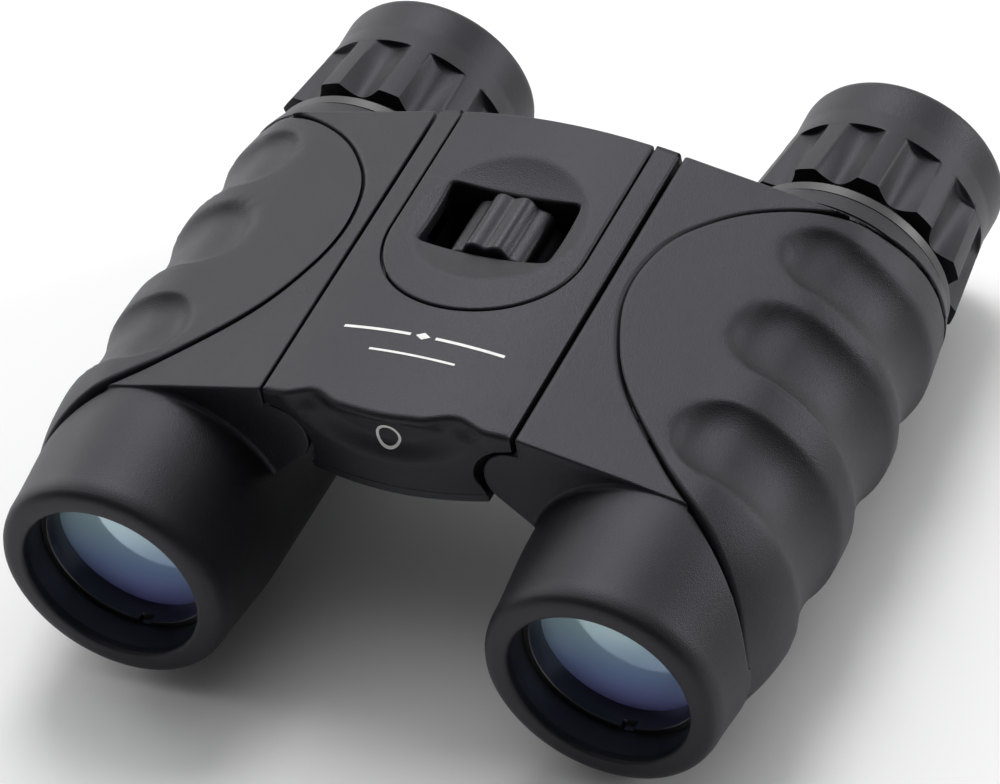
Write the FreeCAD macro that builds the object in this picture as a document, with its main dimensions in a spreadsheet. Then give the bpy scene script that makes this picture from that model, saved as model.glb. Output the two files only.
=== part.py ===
import FreeCAD
import Part
import Sketcher
import math
import os

# Folding compact binoculars, in millimetres.
# Everything is drawn on a bench frame: Y runs back from the objective rims, Z is measured up from
# the barrel axes and X points right. Each finished piece is then moved so that the origin lies on
# the table, under the middle of the object.

doc = FreeCAD.newDocument("Binoculars")
sheet = doc.addObject("Spreadsheet::Sheet", "Sizes")

sizes = {
    # whole object
    "half_length": 54.3,       # origin back from the objective rims
    "axis_height": 19.9,       # barrel axes above the table
    "half_spacing": 37.2,      # barrel axes either side of the middle
    # hinges
    "hinge_x": 18.4,
    "hinge_z": 14.9,
    "knuckle_radius": 5.0,
    "socket_radius": 5.9,
    "pin_radius": 2.0,
    "knuckle_front": 20.8,
    "front_knuckle_end": 31.8,
    "front_lug_start": 32.3,
    "front_lug_end": 38.0,
    "rear_lug_start": 60.5,
    "rear_lug_end": 67.7,
    "rear_knuckle_start": 68.2,
    "knuckle_rear": 79.2,
    # bridge
    "bridge_front": 18.7,
    "bridge_corner": 20.3,
    "bridge_rear": 79.4,
    "bridge_half": 18.7,
    "bridge_floor": 9.9,
    "floor_half": 13.4,
    "crown_top": 26.2,
    "crown_radius": 83.0,
    "nose_radius": 109.0,
    "skin": 1.5,
    "plate_thickness": 1.2,
    "core_half": 17.2,
    "core_front": 22.0,
    "core_rear": 78.0,
    # focus cover and wheel
    "cover_floor": 22.6,
    "cover_half": 14.8,
    "cover_centre": 54.8,
    "cover_gap": 0.2,
    "window_half": 10.0,
    "window_front": 52.6,
    "window_rear": 65.05,
    "dish_radius": 31.0,
    "dish_depth": 1.9,
    "wheel_z": 18.6,
    "wheel_radius": 6.9,
    "wheel_core_radius": 5.0,
    "wheel_front": 53.2,
    "wheel_rear": 64.4,
    "flute_radius": 1.5,
    "flute_offset": 7.7,
    "flute_count": 10.0,
    "spindle_radius": 2.0,
    "spindle_front": 34.5,
    "spindle_rear": 69.5,
    "bush_radius": 3.4,
    "running_gap": 0.05,
    # focus carriage
    "bar_front": 41.5,
    "bar_rear": 44.5,
    "focus_travel": 3.0,
    "rod_radius": 1.5,
    "rod_rear": 56.5,
    "arm_front": 50.0,
    "arm_rear": 54.0,
    "arm_half": 1.7,
    # barrels
    "rim_bore": 13.3,
    "rim_radius": 16.4,
    "lip_radius": 17.3,
    "tube_radius": 18.4,
    "core_radius": 16.0,
    "core_bore": 14.4,
    "lens_bore": 13.6,
    "barrel_core_front": 1.4,
    "barrel_core_rear": 84.0,
    "barrel_rear": 84.5,
    "wing_front": 20.5,
    "wing_seam": 19.3,
    "grip_floor": 17.0,
    "grip_front": 10.5,
    "grip_rear": 82.0,
    "grip_edge": 34.7,         # where the grip starts, a little inside the barrel axis
    # objective
    "lens_face": 8.1,
    "lens_seat": 12.6,
    "objective_curve": 60.0,
    # eyepiece
    "ocular_radius": 12.3,
    "ocular_bore": 10.6,
    "ocular_rear": 102.0,
    "ring_radius": 16.6,
    "lift_radius": 13.2,
    "cup_radius": 16.2,
    "cup_front": 86.8,
    "cup_rear": 108.6,
    "scoop_radius": 6.0,
    "scoop_offset": 20.3,
    "scoop_end": 99.3,
    "scoop_count": 11.0,
}

for row, (alias, value) in enumerate(sizes.items(), start=1):
    sheet.set(f"A{row}", alias.replace("_", " "))
    sheet.set(f"B{row}", str(value))
    sheet.setAlias(f"B{row}", alias)
doc.recompute()

pieces = []


def formula(text):
    """Turn 'alias + alias - number' into an expression on the sheet."""
    words = [f"Sizes.{word}" if word in sizes else word for word in text.split()]
    return " ".join(words)


def amount(text):
    """The value now of the same text, for the first placing of sketch points."""
    total = 0.0
    sign = 1
    for word in text.split():
        if word in "+-":
            sign = 1 if word == "+" else -1
        else:
            total += sign * (sizes[word] if word in sizes else float(word))
    return total


def bind(item, link, text):
    item.setExpression(link, formula(text))


def place(item, x="0", y="0", z="0"):
    bind(item, "Placement.Base.x", x)
    bind(item, "Placement.Base.y", y)
    bind(item, "Placement.Base.z", z)
    return item


def block(label, x, y, z):
    """A box between pairs of limits along each axis."""
    item = doc.addObject("Part::Box", label)
    for side, (low, high) in (("Length", x), ("Width", y), ("Height", z)):
        item.setExpression(side, f"({formula(high)}) - ({formula(low)})")
    return place(item, x[0], y[0], z[0])


def bar(label, radius, front, rear, x="0", z="0"):
    """A round bar along Y."""
    item = doc.addObject("Part::Cylinder", label)
    bind(item, "Radius", radius)
    item.setExpression("Height", f"({formula(rear)}) - ({formula(front)})")
    item.Placement.Rotation = FreeCAD.Rotation(FreeCAD.Vector(1, 0, 0), -90)
    return place(item, x, front, z)


def post(label, radius, low, high, y):
    """A round bar along Z, on the middle plane."""
    item = doc.addObject("Part::Cylinder", label)
    bind(item, "Radius", radius)
    item.setExpression("Height", f"({formula(high)}) - ({formula(low)})")
    return place(item, "0", y, low)


def ball(label, radius, y, x="0", z="0"):
    item = doc.addObject("Part::Sphere", label)
    bind(item, "Radius", radius)
    return place(item, x, y, z)


def fuse(label, *shapes):
    item = doc.addObject("Part::MultiFuse", label)
    item.Shapes = list(shapes)
    return item


def shared(label, *shapes):
    item = doc.addObject("Part::MultiCommon", label)
    item.Shapes = list(shapes)
    return item


def cut(label, base, *tools):
    item = doc.addObject("Part::Cut", label)
    item.Base = base
    item.Tool = tools[0] if len(tools) == 1 else fuse(label + "_tools", *tools)
    return item


def plane(body, role):
    return next(item for item in body.Origin.OriginFeatures if item.Role == role)


def outline(body, role, corners):
    """A closed straight-sided sketch whose every corner is bound to the sheet."""
    sketch = body.newObject("Sketcher::SketchObject", body.Name + "_outline")
    sketch.AttachmentSupport = (plane(body, role), [""])
    sketch.MapMode = "FlatFace"
    spots = [FreeCAD.Vector(amount(across), amount(along), 0) for across, along in corners]
    count = len(corners)
    for i in range(count):
        sketch.addGeometry(Part.LineSegment(spots[i], spots[(i + 1) % count]), False)
    for i in range(count):
        sketch.addConstraint(Sketcher.Constraint("Coincident", i, 2, (i + 1) % count, 1))
    for i, corner in enumerate(corners):
        for kind, axis, text in (("DistanceX", -2, corner[0]), ("DistanceY", -1, corner[1])):
            if amount(text) == 0:
                sketch.addConstraint(Sketcher.Constraint("PointOnObject", i, 1, axis))
                continue
            number = sketch.addConstraint(Sketcher.Constraint(kind, -1, 1, i, 1, amount(text)))
            bind(sketch, f"Constraints[{number}]", text)
    return sketch


def turned(label, corners):
    """A body turned about its own Y axis, from (radius, station) corners."""
    body = doc.addObject("PartDesign::Body", label)
    sketch = outline(body, "XY_Plane", corners)
    turn = body.newObject("PartDesign::Revolution", label + "_turn")
    turn.Profile = sketch
    turn.ReferenceAxis = (sketch, ["V_Axis"])
    turn.Angle = 360
    return body


def ring(label, inner, outer, front, rear):
    return turned(label, [(inner, front), (outer, front), (outer, rear), (inner, rear)])


def slab(label, corners, front, rear):
    """A body with an (x, z) outline, padded along Y between two stations."""
    body = doc.addObject("PartDesign::Body", label)
    sketch = outline(body, "XZ_Plane", corners)
    pad = body.newObject("PartDesign::Pad", label + "_pad")
    pad.Profile = sketch
    pad.setExpression("Length", f"({formula(rear)}) - ({formula(front)})")
    pad.Reversed = True
    return place(body, y=front)


def finish(item, label, x="0"):
    """Stand a finished piece in the object's own frame."""
    item.Label = label
    place(item, x, "- half_length", "axis_height")
    pieces.append(item)
    return item


def mirrored(item, label):
    """The same piece on the left."""
    copy = doc.addObject("Part::Mirroring", label)
    copy.Source = item
    copy.Normal = FreeCAD.Vector(1, 0, 0)
    copy.Label = label
    pieces.append(copy)


def scalloped(body, radius, offset, end, count):
    """Cut a ring of round flutes, open at the front, into the outside of a turned body."""
    sketch = body.newObject("Sketcher::SketchObject", body.Name + "_flute")
    sketch.AttachmentSupport = (plane(body, "XZ_Plane"), [""])
    sketch.MapMode = "FlatFace"
    spot = FreeCAD.Vector(0, amount(offset), 0)
    sketch.addGeometry(Part.Circle(spot, FreeCAD.Vector(0, 0, 1), amount(radius)), False)
    sketch.addConstraint(Sketcher.Constraint("PointOnObject", 0, 3, -2))
    number = sketch.addConstraint(Sketcher.Constraint("DistanceY", -1, 1, 0, 3, amount(offset)))
    bind(sketch, f"Constraints[{number}]", offset)
    number = sketch.addConstraint(Sketcher.Constraint("Radius", 0, amount(radius)))
    bind(sketch, f"Constraints[{number}]", radius)
    doc.recompute()
    before = body.Shape.Volume
    pocket = body.newObject("PartDesign::Pocket", body.Name + "_scoop")
    pocket.Profile = sketch
    bind(pocket, "Length", end)
    pattern = body.newObject("PartDesign::PolarPattern", body.Name + "_scoops")
    pattern.Originals = [pocket]
    pattern.Axis = (plane(body, "Y_Axis"), [""])
    pattern.Angle = 360
    pattern.Occurrences = int(amount(count))
    body.Tip = pattern
    doc.recompute()
    if body.Shape.Volume > before - 1:
        raise RuntimeError(f"{body.Name}: the flutes cut nothing")
    return body


# Hinge lines, shared by the bridge and the barrels.

def bothHinges(label, radius, front, rear):
    """A bar along each hinge line."""
    right = bar(label + "_right", radius, front, rear, "hinge_x", "hinge_z")
    left = bar(label + "_left", radius, front, rear, "- hinge_x", "hinge_z")
    return fuse(label, right, left)


def crown(label, drop, low, front, rear, half):
    """A block under the bridge's long arched top, whose sides are upright."""
    blank = block(label + "_blank", (f"- {half}", half), (front, rear), (low, "crown_top"))
    arch = bar(label + "_arch", f"crown_radius - {drop}", f"{front} - 1", f"{rear} + 1",
               "0", "crown_top - crown_radius")
    return shared(label, blank, arch)


def tongue(label, gap, low):
    """The U of the focus cover: straight sides, open at the rear, with a round front end."""
    straight = block(label + "_straight", (f"- cover_half - {gap}", f"cover_half + {gap}"),
                     ("cover_centre", "bridge_rear + 1"), (low, "crown_top + 1"))
    end = post(label + "_end", f"cover_half + {gap}", low, "crown_top + 1", "cover_centre")
    return fuse(label, straight, end)


# The space under each hinge, which the barrel's wing sweeps through as it folds.
def underHinges(label):
    deep = ("bridge_front - 1", "bridge_rear + 1")
    low = ("bridge_floor - 1", "hinge_z")
    right = block(label + "_right", ("floor_half", "bridge_half + 1"), deep, low)
    left = block(label + "_left", ("- bridge_half - 1", "- floor_half"), deep, low)
    return fuse(label, right, left)


# Bridge.

def bridgeFrame():
    """The rigid core: hinge lugs at both ends, open between them for the focus gear."""
    core = crown("frame_core", "skin", "bridge_floor + plate_thickness", "core_front", "core_rear",
                 "core_half")
    opened = cut("frame_open", core,
                 bothHinges("frame_socket_front", "socket_radius", "core_front - 1", "front_lug_start"),
                 bothHinges("frame_socket_middle", "socket_radius", "front_lug_end", "rear_lug_start"),
                 bothHinges("frame_socket_rear", "socket_radius", "rear_lug_end", "core_rear + 1"),
                 underHinges("frame_under"))
    lugs = fuse("frame_body", opened,
                bothHinges("lug_front", "knuckle_radius", "front_lug_start", "front_lug_end"),
                bothHinges("lug_rear", "knuckle_radius", "rear_lug_start", "rear_lug_end"))
    bay = block("carriage_bay", ("- core_half - 1", "core_half + 1"),
                ("front_lug_end", "bar_rear + focus_travel + 0.7"), ("12.4", "21.8"))
    well = block("wheel_well", ("- window_half", "window_half"), ("window_front", "window_rear + 0.4"),
                 ("bridge_floor", "crown_top"))
    return finish(cut("frame_shape", lugs, bay, well, tongue("frame_tongue", "cover_gap", "cover_floor"),
                      bar("spindle_way", "bush_radius + 0.02", "33.9", "69.9", "0", "wheel_z"),
                      bothHinges("pin_ways", "pin_radius + 0.02", "core_front", "core_rear"),
                      screwPosts("screw_ways", "0.82", "bridge_floor", "bridge_floor + 6")),
                  "bridge_frame")


def screwPosts(label, radius, low, high):
    """Four upright bars where the bottom plate is screwed on."""
    posts = []
    for name, x, y in (("front_right", "8.5", "26"), ("front_left", "- 8.5", "26"),
                       ("rear_right", "8.5", "74"), ("rear_left", "- 8.5", "74")):
        item = post(f"{label}_{name}", radius, low, high, y)
        bind(item, "Placement.Base.x", x)
        posts.append(item)
    return fuse(label, *posts)


def bow(label):
    """A wide upright disc whose edge gives the gentle curve of the bridge's front."""
    return post(label, "nose_radius", "bridge_floor - 1", "crown_top + 1", "bridge_front + nose_radius")


def bridgeArmour():
    """The moulded skin over the top, the nose and the rear of the core."""
    blank = crown("armour_blank", "0", "bridge_floor + plate_thickness", "bridge_front", "bridge_rear",
                  "bridge_half")
    core = crown("armour_core", "skin", "bridge_floor - 1", "core_front", "core_rear", "core_half")
    return finish(cut("armour_shape", shared("armour_bowed", blank, bow("armour_bow")), core,
                      bothHinges("armour_socket", "socket_radius", "bridge_front - 1", "bridge_rear + 1"),
                      underHinges("armour_under"), tongue("armour_tongue", "cover_gap", "cover_floor"),
                      block("cove", ("- 12", "12"), ("bridge_front - 1", "bridge_front + 1.2"),
                            ("crown_top - 5.5", "crown_top - 2"))),
                  "bridge_armour")


def focusCover():
    """The tongue with a dished thumb rest round the wheel's window."""
    plug = shared("cover_plug", tongue("cover_tongue", "0", "cover_floor + 0.05"),
                  crown("cover_crown", "0", "cover_floor + 0.05", "bridge_corner", "bridge_rear",
                        "bridge_half"))
    window = block("cover_window", ("- window_half", "window_half"), ("window_front", "window_rear"),
                   ("cover_floor - 1", "crown_top + 1"))
    dish = ball("cover_dish", "dish_radius", "window_front + 6.2", "0",
                "crown_top + dish_radius - dish_depth")
    return finish(cut("cover_shape", plug, window, dish), "focus_cover")


def bottomPlate():
    """The lower cover, which shows as a thin strip under the nose."""
    plate = block("plate_blank", ("- floor_half", "floor_half"), ("bridge_front", "bridge_rear"),
                  ("bridge_floor", "bridge_floor + plate_thickness"))
    return finish(cut("plate_shape", shared("plate_bowed", plate, bow("plate_bow")),
                      screwPosts("plate_ways", "1.05", "bridge_floor - 1", "bridge_floor + 2"),
                      screwPosts("plate_sinks", "2.05", "bridge_floor - 1", "bridge_floor + 0.7")),
                  "bottom_plate")


def bottomScrews():
    heads = screwPosts("screw_heads", "1.95", "bridge_floor", "bridge_floor + 0.68")
    shanks = screwPosts("screw_shanks", "0.8", "bridge_floor", "bridge_floor + 5.5")
    return finish(fuse("screw_shape", heads, shanks), "bottom_screws")


def hingeHardware():
    """Pins fixed in the lugs, running in the barrel knuckles, and the washers between them."""
    ends = (("front", "core_front", "front_lug_end"), ("rear", "rear_lug_start", "core_rear"))
    for end, front, rear in ends:
        for side, x in (("right", "hinge_x"), ("left", "- hinge_x")):
            pin = ring(f"{side}_{end}_pin_body", "0", "pin_radius", front, rear)
            label = f"{side}_{end}_hinge_pin"
            item = finish(pin, label, x)
            bind(item, "Placement.Base.z", "axis_height + hinge_z")
    washers = cut("washer_shape",
                  fuse("washer_discs",
                       bothHinges("washers_front", "4.6", "front_lug_start - 0.3", "front_lug_start"),
                       bothHinges("washers_rear", "4.6", "rear_lug_end", "rear_lug_end + 0.3")),
                  bothHinges("washer_holes", "pin_radius + running_gap", "core_front", "core_rear"))
    finish(washers, "hinge_washers")


# Focus gear.

def onSpindle(item, label):
    finish(item, label)
    bind(item, "Placement.Base.z", "axis_height + wheel_z")


def focusGear():
    tyre = ring("tyre", "wheel_core_radius + 0.02", "wheel_radius", "wheel_front", "wheel_rear")
    fluted = scalloped(tyre, "flute_radius", "flute_offset", "wheel_rear + 1", "flute_count")
    onSpindle(fluted, "focus_tyre")
    onSpindle(ring("wheel_core", "spindle_radius", "wheel_core_radius", "wheel_front", "wheel_rear"),
              "focus_wheel_core")
    onSpindle(ring("spindle", "0", "spindle_radius", "spindle_front", "spindle_rear"), "focus_spindle")
    onSpindle(ring("bush_front", "spindle_radius + running_gap", "bush_radius", "34", "37.8"), "front_bush")
    onSpindle(ring("bush_rear", "spindle_radius + running_gap", "bush_radius", "66", "69.8"), "rear_bush")


def focusCarriage():
    """A crossbar on the spindle's thread, with a push rod along each hinge line."""
    plate = block("bar_plate", ("- hinge_x", "hinge_x"), ("bar_front", "bar_rear"),
                  ("hinge_z - 1.6", "hinge_z + 4.2"))
    boss = bar("bar_boss", "3.9", "bar_front", "bar_rear", "0", "wheel_z - 1")
    whole = fuse("bar_blank", plate, boss, bothHinges("bar_eyes", "3.2", "bar_front", "bar_rear"))
    finish(cut("bar_shape", whole,
               bar("bar_thread", "spindle_radius + running_gap", "bar_front - 1", "bar_rear + 1",
                   "0", "wheel_z"),
               bothHinges("bar_holes", "rod_radius + 0.02", "bar_front - 1", "bar_rear + 1")),
           "focus_crossbar")
    for side, x in (("right", "hinge_x"), ("left", "- hinge_x")):
        rod = turned(f"{side}_rod", [("0", "bar_front"), ("rod_radius", "bar_front"),
                                     ("rod_radius", "arm_front - 1.1"), ("2.6", "arm_front - 1.1"),
                                     ("2.6", "arm_front - 0.3"), ("rod_radius", "arm_front - 0.3"),
                                     ("rod_radius", "arm_rear + 0.3"), ("2.6", "arm_rear + 0.3"),
                                     ("2.6", "arm_rear + 1.1"), ("rod_radius", "arm_rear + 1.1"),
                                     ("rod_radius", "rod_rear"), ("0", "rod_rear")])
        finish(rod, f"{side}_focus_rod", x)
        bind(rod, "Placement.Base.z", "axis_height + hinge_z")


# Right barrel, on the bench at its own place, then mirrored.

def onAxis(item):
    return place(item, "half_spacing")


def pair(item, name, x="0"):
    """Finish a right-hand piece and its left-hand twin."""
    finish(item, "right_" + name, x)
    mirrored(item, "left_" + name)


def hingeBar(label, radius, front, rear):
    return bar(label, radius, front, rear, "hinge_x", "hinge_z")


def wing(label, drop, front, rear):
    """The web from the seam over to the barrel's top, its top lowered by a skin."""
    corners = [("wing_seam", f"23.6 - {drop}"), ("30", f"21.7 - {drop}"), ("grip_edge", f"20.3 - {drop}"),
               ("grip_edge", "5"), ("22", "5"), ("wing_seam", "7.6")]
    return slab(label, corners, front, rear)


def knuckle(label, front, rear):
    """A hinge knuckle with the web that ties it to the barrel."""
    web = slab(label + "_web", [("hinge_x - 3.6", "hinge_z - 3.45"), ("20.4", "6.2"), ("24", "8"),
                                ("24", "16"), ("hinge_x", "hinge_z")], front, rear)
    return fuse(label, hingeBar(label + "_eye", "knuckle_radius", front, rear), web)


def housingSolid(label):
    """The rigid barrel core before boring."""
    tube = onAxis(ring(label + "_tube", "0", "core_radius", "barrel_core_front", "barrel_core_rear"))
    return fuse(label, tube, wing(label + "_wing", "skin", "core_front", "core_rear"),
                knuckle(label + "_knuckle_front", "knuckle_front", "front_knuckle_end"),
                knuckle(label + "_knuckle_rear", "rear_knuckle_start", "knuckle_rear"))


def armSlot(label):
    """The way through the barrel's wall for the focusing arm, with room for its travel."""
    slot = doc.addObject("Part::Box", label)
    slot.setExpression("Length", "24")
    slot.setExpression("Height", formula("arm_half + arm_half + 1"))
    slot.setExpression("Width", formula("arm_rear - arm_front + focus_travel + focus_travel + 1.4"))
    place(slot, "hinge_x", "arm_front - focus_travel - 0.7", "hinge_z")
    turn = FreeCAD.Rotation(FreeCAD.Vector(0, 1, 0), armAngle)
    slot.Placement.Rotation = turn
    lift = turn.multVec(FreeCAD.Vector(0, 0, -amount("arm_half + 0.5")))
    bind(slot, "Placement.Base.x", f"hinge_x + {lift.x:.4f}")
    bind(slot, "Placement.Base.z", f"hinge_z + {lift.z:.4f}")
    return slot


# Slope of the line from the hinge down to the barrel axis, about Y.
armWay = FreeCAD.Vector(amount("half_spacing - hinge_x"), 0, -amount("hinge_z"))
armAngle = math.degrees(armWay.getAngle(FreeCAD.Vector(1, 0, 0)))


def barrelShells():
    core = housingSolid("housing_core")
    bore = onAxis(turned("housing_bore", [("0", "0"), ("lens_bore", "0"), ("lens_bore", "lens_seat"),
                                          ("12.2", "lens_seat"), ("12.2", "lens_seat + 1.4"),
                                          ("core_bore", "lens_seat + 1.4"), ("core_bore", "90"),
                                          ("0", "90")]))
    relief = hingeBar("housing_relief", "socket_radius", "front_knuckle_end", "rear_knuckle_start")
    pinWay = hingeBar("housing_pin_way", "pin_radius + running_gap", "core_front - 0.2", "core_rear + 0.2")
    pair(cut("housing_shape", core, bore, relief, pinWay, armSlot("housing_slot")), "barrel_housing")

    skin = onAxis(turned("armour_skin", [("0", "0"), ("rim_radius", "0"), ("lip_radius", "1.6"),
                                         ("tube_radius", "bridge_corner"), ("tube_radius", "77.5"),
                                         ("17.4", "83"), ("17", "barrel_rear"), ("0", "barrel_rear")]))
    outer = fuse("barrel_outer", skin, wing("outer_wing", "0", "wing_front", "bridge_rear"))
    mouth = onAxis(ring("armour_mouth", "0", "rim_bore", "- 1", "barrel_core_front"))
    rear = onAxis(ring("armour_rear", "0", "core_bore", "barrel_core_rear", "barrel_rear + 1"))
    pocket = gripBand("armour_pocket", "22")
    pair(cut("skin_shape", outer, housingSolid("armour_hollow"), mouth, rear, pocket,
             hingeBar("skin_relief", "socket_radius", "front_knuckle_end", "rear_knuckle_start")),
         "barrel_armour")


def gripBand(label, radius):
    """The part of a ring round the barrel that lies on its outer side."""
    band = onAxis(ring(label + "_band", "grip_floor", radius, "grip_front", "grip_rear"))
    side = block(label + "_side", ("grip_edge", "half_spacing + 25"), ("0", "90"), ("- 25", "25"))
    return shared(label, band, side)


def fingerGrip():
    """Four finger lobes round the outside, with a flat strip below to stand on."""
    lobes = onAxis(turned("grip_lobes", [("grip_floor", "grip_front"), ("18.2", "grip_front"),
                                         ("19.8", "17"), ("20.3", "24"), ("18.9", "31"), ("20", "40"),
                                         ("18.3", "50"), ("19.5", "60"), ("17.9", "69"), ("18.4", "76"),
                                         ("17.4", "grip_rear"), ("grip_floor", "grip_rear")]))
    side = block("grip_side", ("grip_edge", "half_spacing + 25"), ("0", "90"), ("- axis_height", "25"))
    strip = block("grip_strip", ("grip_edge", "half_spacing + 5"), ("14", "80"), ("- axis_height", "- 10"))
    inside = onAxis(ring("grip_inside", "0", "grip_floor", "0", "90"))
    foot = cut("grip_foot", strip, inside)
    pair(fuse("grip_shape", shared("grip_outside", lobes, side), foot), "finger_grip")


def lens(label, radius, front, rear, curve):
    """A lens with a domed front and a flat back."""
    dome = ball(label + "_dome", curve, f"{front} + {curve}", "half_spacing")
    disc = onAxis(ring(label + "_disc", "0", radius, front, rear))
    return shared(label, disc, dome)


def objective():
    pair(lens("objective_shape", "13.5", "lens_face", "lens_seat", "objective_curve"), "objective_lens")
    retainer = onAxis(ring("objective_ring_blank", "12.5", "13.55", "lens_face - 2.2", "lens_face + 1.3"))
    notches = block("ring_notches", ("half_spacing - 0.9", "half_spacing + 0.9"),
                    ("lens_face - 3", "lens_face - 1.2"), ("- 14", "14"))
    pair(cut("objective_ring_shape", retainer, notches), "objective_ring")


def focusCell():
    """A lens cell that slides in the barrel, with an arm out to an eye on the push rod."""
    shell = onAxis(ring("cell_shell", "12.2", "core_bore - running_gap", "47.6", "56.4"))
    eye = bar("cell_eye", "3.4", "arm_front", "arm_rear", "hinge_x", "hinge_z")
    arm = doc.addObject("Part::Box", "cell_arm")
    arm.setExpression("Length", "11.2")
    arm.setExpression("Height", formula("arm_half + arm_half"))
    arm.setExpression("Width", formula("arm_rear - arm_front"))
    turn = FreeCAD.Rotation(FreeCAD.Vector(0, 1, 0), armAngle)
    arm.Placement.Rotation = turn
    lift = turn.multVec(FreeCAD.Vector(0, 0, -amount("arm_half")))
    place(arm, f"hinge_x + {lift.x:.4f}", "arm_front", f"hinge_z + {lift.z:.4f}")
    hole = bar("cell_hole", "rod_radius + running_gap", "arm_front - 1", "arm_rear + 1",
               "hinge_x", "hinge_z")
    pair(cut("cell_shape", fuse("cell_blank", shell, eye, arm), hole), "focus_cell")
    pair(lens("focus_lens_shape", "12.15", "50", "54", "70"), "focus_lens")


def across(label, width, corners):
    """A piece with a (y, z) outline, padded both ways across the light path."""
    body = doc.addObject("PartDesign::Body", label)
    sketch = outline(body, "YZ_Plane", corners)
    pad = body.newObject("PartDesign::Pad", label + "_pad")
    pad.Profile = sketch
    pad.Length = width
    pad.Midplane = True
    return body


def prisms():
    cage = onAxis(ring("cage_blank", "0", "core_bore - 0.05", "60.5", "78.5"))
    hollow = block("cage_hollow", ("half_spacing - 8.1", "half_spacing + 8.1"), ("60", "79"),
                   ("- 8.1", "9.2"))
    pair(cut("cage_shape", cage, hollow), "prism_cage")
    pair(across("front_prism_body", 16, [("61.2", "- 8"), ("61.2", "8"), ("65.4", "8"), ("72", "- 8")]),
         "front_prism", "half_spacing")
    pair(across("rear_prism_body", 16, [("66", "8"), ("77.8", "8"), ("77.8", "- 8"), ("72.6", "- 8")]),
         "rear_prism", "half_spacing")
    pair(across("clip_body", 6, [("61.5", "8.1"), ("77.5", "8.1"), ("77.5", "8.6"), ("61.5", "8.6")]),
         "prism_clip", "half_spacing")


def eyepiece():
    pair(onAxis(turned("ocular_body", [("ocular_bore", "79"), ("core_bore - 0.05", "79"),
                                       ("core_bore - 0.05", "barrel_rear"), ("ocular_radius", "barrel_rear"),
                                       ("ocular_radius", "ocular_rear"), ("ocular_bore", "ocular_rear")])),
         "ocular_housing", "half_spacing")
    pair(ring("stop_body", "6.5", "ocular_bore - 0.05", "80", "81"), "field_stop", "half_spacing")
    cell = ring("ocular_cell_body", "8.6", "ocular_bore - running_gap", "86.5", "91.5")
    mirrored(finish(cell, "ocular_cell", "half_spacing"), "dioptre_cell")
    pair(lens("field_lens_shape", "8.55", "87.3", "90.7", "40"), "field_lens")
    pair(lens("eye_lens_shape", "10.5", "94.6", "99.8", "60"), "eye_lens")
    eyeRing = ring("eye_ring_body", "9.2", "ocular_bore - 0.05", "99.9", "101.6")
    pair(eyeRing, "eye_lens_ring", "half_spacing")
    neck = ring("neck_body", "ocular_radius + running_gap", "ring_radius", "84.9", "86.4")
    mirrored(finish(neck, "neck_ring", "half_spacing"), "dioptre_ring")
    pair(ring("lift_body", "ocular_radius + running_gap", "lift_radius", "88", "98"), "lift_ring",
         "half_spacing")
    cup = turned("cup_body", [("lift_radius + running_gap", "cup_front"), ("cup_radius", "cup_front"),
                              ("cup_radius", "101.5"), ("14.9", "104"), ("14.9", "105.5"), ("15.5", "107.6"),
                              ("15.1", "cup_rear"), ("13.4", "cup_rear"), ("11.2", "104"),
                              ("11.2", "ocular_rear + 0.5"), ("ocular_radius + 0.15", "ocular_rear + 0.5"),
                              ("ocular_radius + 0.15", "98.3"), ("lift_radius + running_gap", "98.3")])
    scooped = scalloped(cup, "scoop_radius", "scoop_offset", "scoop_end", "scoop_count")
    pair(scooped, "eyecup", "half_spacing")


bridgeFrame()
bridgeArmour()
focusCover()
bottomPlate()
bottomScrews()
hingeHardware()
focusGear()
focusCarriage()
barrelShells()
fingerGrip()
objective()
focusCell()
prisms()
eyepiece()

doc.recompute()

for item in doc.Objects:
    if "Invalid" in item.State or "Error" in item.State:
        raise RuntimeError(f"{item.Label}: {item.State}")

os.makedirs("parts", exist_ok=True)
for item in pieces:
    if item.Shape.isNull() or not item.Shape.isValid():
        raise RuntimeError(f"{item.Label} has no valid shape")
    item.Shape.exportStep(f"parts/{item.Label}.step")
    box = item.Shape.BoundBox
    print(f"{item.Label:26s} solids {len(item.Shape.Solids)}  volume {item.Shape.Volume:9.1f}  "
          f"x {box.XMin:6.1f} {box.XMax:6.1f}  y {box.YMin:6.1f} {box.YMax:6.1f}  "
          f"z {box.ZMin:6.1f} {box.ZMax:6.1f}")
print(len(pieces), "pieces")
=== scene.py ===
import bmesh
import bpy
from math import atan2, cos, hypot, pi, radians, sin, sqrt
from mathutils.bvhtree import BVHTree
from mathutils import Matrix, Vector
from mathutils.kdtree import KDTree


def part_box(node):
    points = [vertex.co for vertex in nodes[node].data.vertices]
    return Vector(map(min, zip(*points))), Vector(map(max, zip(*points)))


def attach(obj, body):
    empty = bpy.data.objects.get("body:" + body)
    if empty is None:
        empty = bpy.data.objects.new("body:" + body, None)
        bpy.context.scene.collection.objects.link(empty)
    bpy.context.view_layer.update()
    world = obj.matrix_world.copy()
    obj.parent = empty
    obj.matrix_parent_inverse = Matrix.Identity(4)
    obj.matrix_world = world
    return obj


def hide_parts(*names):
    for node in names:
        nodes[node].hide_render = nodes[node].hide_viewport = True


# Folding compact binoculars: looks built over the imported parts.
# Sizes are in millimetres. Lengths run back from the objective rims (y) and heights are measured
# from the barrel axes (z), so the same numbers serve both barrels.

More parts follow.
